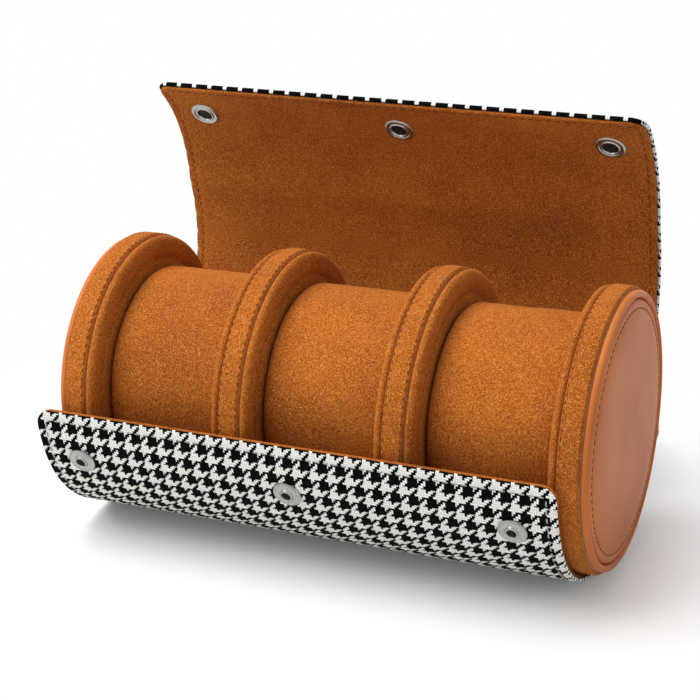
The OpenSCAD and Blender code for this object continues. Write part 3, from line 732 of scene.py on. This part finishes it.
def faceProfile(direction):
    # leather panel over padding: it swells up from a deep groove beside the piping, and its stitches pull
    # a shallow valley a little way in
    r, h, t, w = disc["radius"] - disc["rimStep"], disc["bandHalf"], disc["rimSide"], disc["rimWidth"]
    top, edge, seam = h + t - disc["faceDepth"], r - w, disc["faceSeam"]
    face = smoothProfile([
        (edge + 0.05, top - 1.5), (edge - 0.1, top - 0.8), (edge - 0.5, top - 0.2), (edge - 1.2, top + 0.1),
        (edge - 2.1, top + 0.16), (edge - seam, top + 0.02), (edge - 3.6, top + 0.32),
        (edge - 6, top + 0.78), (edge - 11, top + 1.15), (edge - 20, top + 1.35), (12.0, top + 1.45),
        (0.0, top + 1.5)], 140)
    return np.vstack([face, [(0.0, top - 1.5), (edge - 0.5, top - 1.58)]]) * [1, direction]


def ringStitches(name, middle, x, radius, sideways=0):
    # brown stitches evenly round the discs' axis; sideways is the side they lie on when they are on a face
    count = int(2 * math.pi * radius / disc["stitchPitch"])
    a = np.arange(count) * 2 * math.pi / count
    zero = np.zeros(count)
    tangents = np.stack([zero, -np.sin(a), np.cos(a)], -1)
    normals = np.stack([zero, np.cos(a), np.sin(a)], -1)
    if sideways:
        normals = np.tile([float(sideways), 0, 0], (count, 1))
    points, faces = stitchMesh(roundAxis(np.full(count, middle + x), radius, a), tangents, normals,
                               disc["stitchLength"], disc["stitchRadius"])
    return makePiece(name, points, faces, brownThread, sharpAngle=180)


def discAt(k):
    # a disc's or cushion's middle in X, counted in pitches from the middle cushion
    return disc["shift"] + k * disc["pitch"]


def finishOn(piece, slot, *nodes):
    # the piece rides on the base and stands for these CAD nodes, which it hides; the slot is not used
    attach(piece, "base")
    if nodes:
        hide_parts(*nodes)


bandSeamRadius = disc["radius"] - disc["bandSeamSink"]
faceSeamRadius = disc["radius"] - disc["rimStep"] - disc["rimWidth"] - disc["faceSeam"]
for side, k, inward in (("left", -1.5, 1), ("right", 1.5, -1)):
    x = discAt(k)
    name = side + "_end_"
    finishOn(turnedShell(name + "suede_band", bandProfile(), x, suede), "suede", name + "band")
    finishOn(turnedShell(name + "suede_pad", facingProfile(inward), x, suede), "suede", name + "facing")
    finishOn(turnedShell(name + "piping", rimProfile(-inward), x, leather), "leather", name + "rim")
    finishOn(turnedShell(name + "leather_face", faceProfile(-inward), x, leather), "leather", name + "face")
    finishOn(ringStitches(name + "band_stitches", x, inward * disc["bandSeam"], bandSeamRadius), "suede")
    faceX = -inward * (disc["bandHalf"] + disc["rimSide"] - disc["faceDepth"])
    finishOn(ringStitches(name + "face_stitches", x, faceX, faceSeamRadius, sideways=-inward), "leather")
for side, k in (("left", -0.5), ("right", 0.5)):
    x = discAt(k)
    name = side + "_divider_"
    finishOn(turnedShell(name + "suede_band", bandProfile(), x, suede), "suede", name + "band")
    for word, direction, nodes in (("a", -1, [name + "facings"]), ("b", 1, [])):
        pad = turnedShell(name + "suede_pad_" + word, facingProfile(direction), x, suede)
        finishOn(pad, "suede", *nodes)
    for word, direction in (("a", -1), ("b", 1)):
        seamX = direction * disc["bandSeam"]
        finishOn(ringStitches(name + "stitches_" + word, x, seamX, bandSeamRadius), "suede")
print("stage: discs made")

cushion = {
    "radius": 34.5, "half": 20.3, "edge": 2.6, "crown": 0.25, "step": 0.2, "dish": 0.25, "fill": 0.85,
    "wave": 0.16, "ripple": 0.1, "slack": 0.12, "seamAngle": 250.0, "seamDepth": 0.5, "seamWidth": 0.7,
}


def cushionProfile():
    # a drum with rounded ends: the sleeve's radius falls with the fourth power of X, the ends are quarter
    # circles, and each end's middle dishes in with the square of the radius
    r, h, e = cushion["radius"], cushion["half"], cushion["edge"]
    x = np.linspace(-(h - e), h - e, 41)
    side = np.stack([r - cushion["crown"] * (x / h) ** 4, x], -1)
    a = np.linspace(0, math.pi / 2, 12)[1:]
    rounding = np.stack([r - cushion["step"] - e + e * np.cos(a), h - e + e * np.sin(a)], -1)
    inwards = np.linspace(r - cushion["step"] - e, 0, 24)[1:]
    end = np.stack([inwards, h - cushion["dish"] * (1 - (inwards / r) ** 2)], -1)
    half = np.vstack([rounding, end])
    return np.vstack([(half * [1, -1])[::-1], side, half])


def slightlyUneven(seed):
    # the stuffing's soft hills, different for each cushion
    def wobble(radius, across, a):
        # the radius plus two slow waves round and along the drum, less a bell-shaped groove at the sleeve's
        # seam; all of it fades towards the axis with the cube of the radius
        share = np.clip(radius / cushion["radius"], 0, 1) ** 3
        wave = cushion["wave"] * np.sin(3 * a + seed) * np.cos(across * 0.11 + seed)
        ripple = cushion["ripple"] * np.sin(7 * a - 2 * seed + across * 0.16)
        fromSeam = (a - math.radians(cushion["seamAngle"]) + math.pi) % (2 * math.pi) - math.pi
        groove = np.exp(-(fromSeam * cushion["radius"] / cushion["seamWidth"]) ** 2)
        return radius + share * (wave + ripple - cushion["slack"] - cushion["seamDepth"] * groove)
    return wobble


for side, k, seed in (("left", -1, 0.4), ("middle", 0, 2.1), ("right", 1, 4.4)):
    name = side + "_cushion"
    drum = turnedShell(name + "_drum", cushionProfile(), discAt(k), suede, 216, slightlyUneven(seed))
    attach(drum, name)
    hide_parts(name + "_core", name + "_sleeve", name + "_ends")
print("stage: cushions made")

snap = {"pitch": 72.0, "fromEdge": 15.8, "studAngle": 200.5, "segments": 64}
alongX = np.array([1.0, 0, 0])


def latheOnLine(name, profile, spots, material):
    # a profile of (radius, height) turned round the normal at each spot; a spot is a foot point and a
    # normal, and the profile's two ends lie on the axis
    profile = np.asarray(profile, float)
    n = snap["segments"]
    j = np.arange(n)
    k = (j + 1) % n
    a = np.linspace(0, 2 * math.pi, n, endpoint=False)[:, None]
    count = (len(profile) - 2) * n                 # points between the two ends
    points, faces = [], []
    for foot, normal in spots:
        first = len(points) * (count + 2)
        ring = alongX[None] * np.cos(a) + np.cross(normal, alongX)[None] * np.sin(a)
        body = foot + ring[None] * profile[1:-1, 0, None, None] + normal * profile[1:-1, 1, None, None]
        ends = foot + normal * profile[[0, -1], 1][:, None]
        points.append(np.vstack([body.reshape(-1, 3), ends]))
        faces += gridFaces(len(profile) - 2, n, first, loop=True).tolist()
        low, high = first + count, first + count - n
        faces += np.stack([first + k, first + j, np.full(n, low)], -1).tolist()
        faces += np.stack([high + j, high + k, np.full(n, low + 1)], -1).tolist()
    return makePiece(name, np.vstack(points), faces, material, sharpAngle=38)


def wallSpots():
    # the three places on the front wall's outside, at an angle round the wall's centre
    angle = math.radians(snap["studAngle"])
    out = np.array([math.cos(angle), math.sin(angle)])
    centre = np.array([0, cloth["axisHeight"] + cloth["wallSlack"]])
    flat = centre + out * (cloth["wallRadius"] + cloth["thick"])
    return [(np.array([k * snap["pitch"], *flat]), np.array([0, *out])) for k in (-1, 0, 1)]


def lidSpots(depth, facing):
    # the three places near the lid's free edge, at a depth through its layers; facing is 1 out of the
    # cloth and -1 out of the suede
    s = np.array([lineEnd - snap["fromEdge"]])
    out = outwards(onLine(s)[1])[0] * facing
    return [(clothPoint(k * snap["pitch"], s, depth)[0], np.array([0, *out])) for k in (-1, 0, 1)]


# stud: a flanged disc with a beaded rim, a shallow channel, and a hollow knob with a rolled lip
studProfile = [
    (0, -1.7), (2.0, -1.7), (2.0, 0.0), (4.35, 0.0), (4.6, 0.18), (4.58, 0.48), (4.35, 0.66), (4.05, 0.62),
    (3.85, 0.42), (3.3, 0.38), (2.85, 0.42), (2.5, 0.56), (2.25, 0.68), (2.08, 0.85), (2.04, 1.1),
    (2.08, 1.25), (2.0, 1.38), (1.82, 1.45), (1.6, 1.38), (1.5, 1.15), (1.48, 0.8), (1.4, 0.3), (0.9, 0.12),
    (0, 0.1)]
# painted shade: a thin near-black dish inside the stud's hollow knob
studHollow = [(0, 0.12), (1.3, 0.2), (1.45, 0.3), (1.45, 0.42), (1.2, 0.36), (0.6, 0.3), (0, 0.28)]
# socket: a domed ring with a groove, an inner lip and a hollow for the stud's knob
socketProfile = [
    (0, -1.55), (3.2, -1.55), (3.2, -0.1), (4.6, 0.0), (4.98, 0.1), (5.0, 0.38), (4.8, 0.66), (4.4, 0.84),
    (3.95, 0.86), (3.7, 0.74), (3.55, 0.56), (3.35, 0.55), (3.2, 0.72), (3.0, 0.86), (2.75, 0.84),
    (2.6, 0.6), (2.55, 0.3), (2.5, 0.14), (1.5, 0.1), (0, 0.1)]
# painted shade: a thin near-black dish at the bottom of the socket's bore
socketHollow = [(0, 0.12), (2.3, 0.13), (2.46, 0.16), (2.46, 0.24), (2.2, 0.18), (1.2, 0.16), (0.9, 0.2),
                (0.5, 0.22), (0, 0.23)]
# cap: the low dome on the cloth behind each socket
capProfile = [(0, 0.0), (5.0, 0.0), (5.24, 0.12), (5.22, 0.4), (5.0, 0.64), (4.5, 0.82), (3.6, 0.92),
              (2.0, 0.97), (0, 0.98)]
onWall, inLid, onLid = wallSpots(), lidSpots(0.0, -1), lidSpots(cloth["thick"], 1)
for name, profile, spots, material, body, slot, node in (
        ("stud_discs", studProfile, onWall, brightNickel, "base", "snap_steel", "snap_studs"),
        ("stud_hollows", studHollow, onWall, hollowShade, "base", "snap_steel", None),
        ("socket_rings", socketProfile, inLid, tumbledNickel, "upper_lid", "snap_gunmetal", "snap_sockets"),
        ("socket_hollows", socketHollow, inLid, hollowShade, "upper_lid", "snap_gunmetal", None),
        ("socket_cap_domes", capProfile, onLid, brightNickel, "upper_lid", "snap_steel", "socket_caps")):
    piece = latheOnLine(name, profile, spots, material)
    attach(piece, body)
    if node:
        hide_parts(node)
print("stage: snaps made")

# the solids that stay, by the ends of their names
solidFinish = {"_board": board, "_core": foam, "_plates": brightNickel}
for name, node in frame["nodes"].items():
    finish = next((material for end, material in solidFinish.items() if name.endswith(end)), None)
    if finish is not None:
        node.data.materials.clear()
        node.data.materials.append(finish)


def seenRays(tree):
    # 1 for what the camera sees, straight or in a gloss or through glass; 0 for the rays that light things
    rays = addNode(tree, "ShaderNodeLightPath").outputs
    mirrored = addNode(tree, "ShaderNodeMath", {0: rays["Is Glossy Ray"], 1: rays["Is Transmission Ray"]},
                       operation="MAXIMUM")
    return addNode(tree, "ShaderNodeMath", {0: rays["Is Camera Ray"], 1: mirrored}, operation="MAXIMUM")


table = {
    "half": 4.0, "drop": 0.0002, "seen": "#F8F7F6", "unseen": "#DEDDDB",
    "middle": -0.02, "caseHalf": 0.06,            # the stretch in X that the shadow is measured from
    "shadowFrom": 0.03, "whiteFrom": 0.14, "leastWhite": 0.08,
}
h, z = table["half"], -table["drop"]
floorMesh = bpy.data.meshes.new("floor")
floorMesh.from_pydata([(-h, -h, z), (h, -h, z), (h, h, z), (-h, h, z)], [], [(0, 1, 2, 3)])
floor = bpy.data.objects.new("floor", floorMesh)
bpy.context.scene.collection.objects.link(floor)
floorPaint = bpy.data.materials.new("whiteTable")
floorPaint.use_nodes = True
tree = floorPaint.node_tree
tree.nodes.clear()
seen = seenRays(tree)
# the table is evenly white a little way off; close to the case it shows the soft shadow. How far off is
# the length of (|X - middle| past half the case, Y)
position = addNode(tree, "ShaderNodeSeparateXYZ", {0: addNode(tree, "ShaderNodeNewGeometry")})
fromMiddle = addNode(tree, "ShaderNodeMath", {0: position.outputs["X"], 1: table["middle"]},
                     operation="SUBTRACT")
aside = addNode(tree, "ShaderNodeMath", {0: fromMiddle}, operation="ABSOLUTE")
past = addNode(tree, "ShaderNodeMath", {0: aside, 1: table["caseHalf"]}, operation="SUBTRACT")
past = addNode(tree, "ShaderNodeMath", {0: past, 1: 0.0}, operation="MAXIMUM")
flat = addNode(tree, "ShaderNodeCombineXYZ", {"X": past, "Y": position.outputs["Y"]})
away = addNode(tree, "ShaderNodeVectorMath", {0: flat}, operation="LENGTH")
evenly = addNode(tree, "ShaderNodeMapRange", {
    "Value": away, "From Min": table["shadowFrom"], "From Max": table["whiteFrom"],
    "To Min": table["leastWhite"]}, interpolation_type="SMOOTHSTEP")
paint = addNode(tree, "ShaderNodeMix", {0: seen, 6: linear(table["unseen"]), 7: linear(table["seen"])},
                data_type="RGBA")
lit = addNode(tree, "ShaderNodeBsdfDiffuse", {"Color": paint})
glow = addNode(tree, "ShaderNodeEmission", {"Color": (1, 1, 1, 1), "Strength": 1.0})
glowing = addNode(tree, "ShaderNodeMath", {0: seen, 1: evenly}, operation="MULTIPLY")
mixed = addNode(tree, "ShaderNodeMixShader", {0: glowing, 1: lit, 2: glow})
addNode(tree, "ShaderNodeOutputMaterial", {"Surface": mixed})
floorMesh.materials.append(floorPaint)

studio = {
    "worldStrength": 0.42, "aim": (0, 0, 0.05),
    "lamps": {
        "keyLight": {"at": (-0.6, -0.5, 1.05), "size": 0.8, "power": 11.5},
        "fillLight": {"at": (0.9, -0.6, 0.6), "size": 0.9, "power": 1.2},
        "topLight": {"at": (-0.3, 0.1, 1.15), "size": 0.8, "power": 7.5},
    },
}
world = bpy.data.worlds.new("studio")
bpy.context.scene.world = world
world.use_nodes = True
tree = world.node_tree
tree.nodes.clear()
soft, white = (addNode(tree, "ShaderNodeBackground", {"Color": (1, 1, 1, 1), "Strength": strength})
               for strength in (studio["worldStrength"], 1.0))
mixed = addNode(tree, "ShaderNodeMixShader", {0: seenRays(tree), 1: soft, 2: white})
addNode(tree, "ShaderNodeOutputWorld", {"Surface": mixed})


def standAt(name, data, right, up, back, at):
    # an object whose axes point right, up and back, at a place in metres
    axes = np.eye(4)
    axes[:3] = np.stack([right, up, back, at], -1)
    thing = bpy.data.objects.new(name, data)
    thing.matrix_world = Matrix(axes.tolist())
    bpy.context.scene.collection.objects.link(thing)
    return thing


for name, lamp in studio["lamps"].items():
    data = bpy.data.lights.new(name, "AREA")
    data.energy, data.size = lamp["power"], lamp["size"]
    at = np.array(lamp["at"])
    back = (at - studio["aim"]) / np.linalg.norm(at - studio["aim"])
    right = np.cross([0, 0, 1], back)
    right /= np.linalg.norm(right)
    standAt(name, data, right, np.cross(back, right), back, at)

shot = {
    "azimuth": 23.53, "elevation": 21.47, "roll": -1.58, "distance": 599.8, "target": (2.07, 0.0, 62.7),
    "lens": 96.6, "sensor": 36.0, "clip": 0.01,
}
a, e, r = (math.radians(shot[k]) for k in ("azimuth", "elevation", "roll"))
back = np.array([math.sin(a) * math.cos(e), -math.cos(a) * math.cos(e), math.sin(e)])
right = np.array([math.cos(a), math.sin(a), 0.0])
up = np.cross(back, right)
cameraData = bpy.data.cameras.new("camera")
cameraData.lens, cameraData.sensor_width, cameraData.clip_start = shot["lens"], shot["sensor"], shot["clip"]
at = (np.array(shot["target"]) + shot["distance"] * back) * mm
rolledRight, rolledUp = right * math.cos(r) + up * math.sin(r), -right * math.sin(r) + up * math.cos(r)
bpy.context.scene.camera = standAt("camera", cameraData, rolledRight, rolledUp, back, at)
bpy.context.scene.view_settings.view_transform = "Standard"
print("stage: table, lamps and camera made")

print("stage: done")
